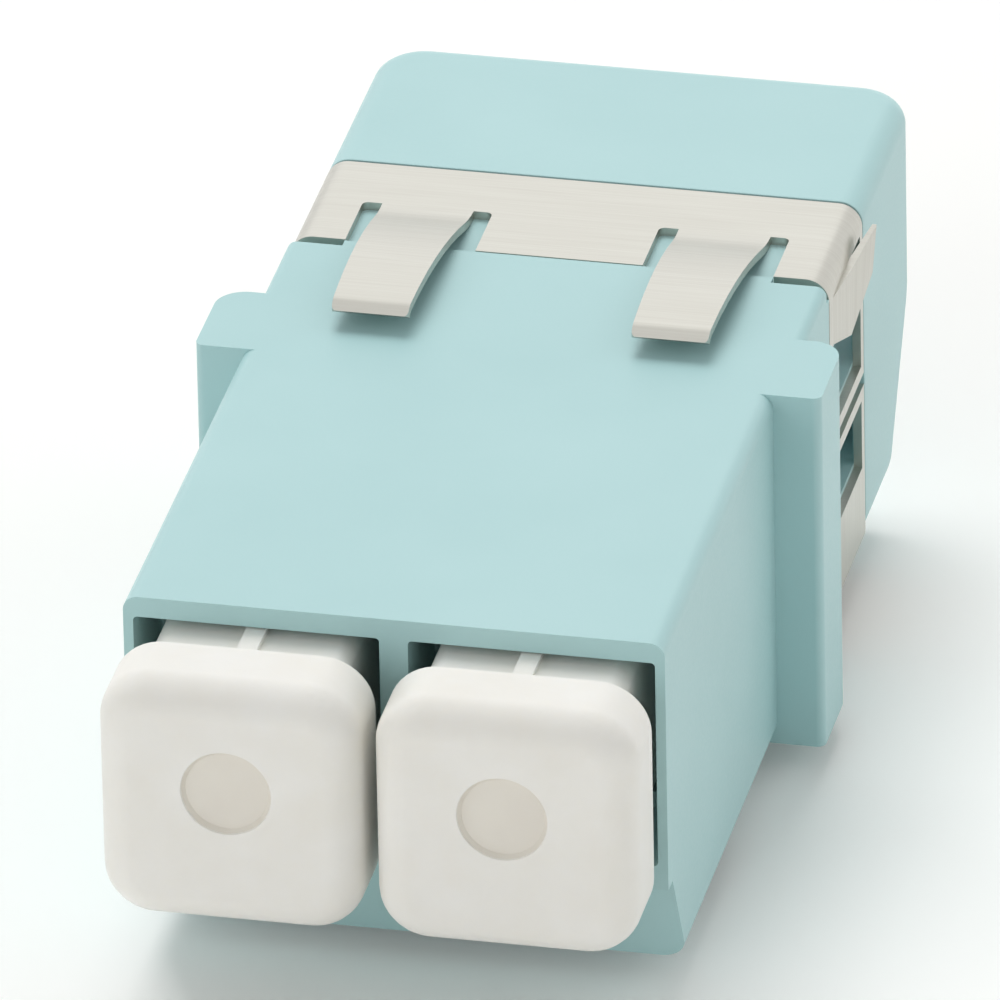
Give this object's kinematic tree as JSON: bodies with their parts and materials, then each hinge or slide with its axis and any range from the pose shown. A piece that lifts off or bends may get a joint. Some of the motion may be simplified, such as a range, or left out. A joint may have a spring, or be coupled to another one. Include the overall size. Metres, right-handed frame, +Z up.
{
  "type": "duplex fibre adapter",
  "caption": "Panel-mount fibre coupler: moulded aqua housing with flange and side-by-side plug ports, a folded spring clip and push-in dust caps.",
  "frame": {"origin": "middle of the plane where the flange's rear face meets the panel, on the housing's centre line", "axes": "+X across the ports, +Y along the ports from the capped front to the open rear, +Z up, away from the latch side"},
  "size_m": [0.0144, 0.0306, 0.0104],
  "materials": {
    "housing": "light aqua moulded plastic with a fine satin surface",
    "clip": "rolled stainless spring strip",
    "sleeve": "ground white zirconia",
    "cap": "soft white, slightly waxy plastic"
  },
  "bodies": {
    "adapter": {"front_housing": "housing", "rear_housing": "housing", "sleeve_retainer": "housing", "panel_clip": "clip", "alignment_sleeve_left": "sleeve", "alignment_sleeve_right": "sleeve"},
    "left_cap": {"dust_cap_left": "cap"},
    "right_cap": {"dust_cap_right": "cap"}
  },
  "joints": [
    {"name": "left_cap_pull", "type": "slide", "parent": "adapter", "child": "left_cap", "axis": [0, -1, 0], "range_m": [0, 0.012]},
    {"name": "right_cap_pull", "type": "slide", "parent": "adapter", "child": "right_cap", "axis": [0, -1, 0], "range_m": [0, 0.012]}
  ]
}
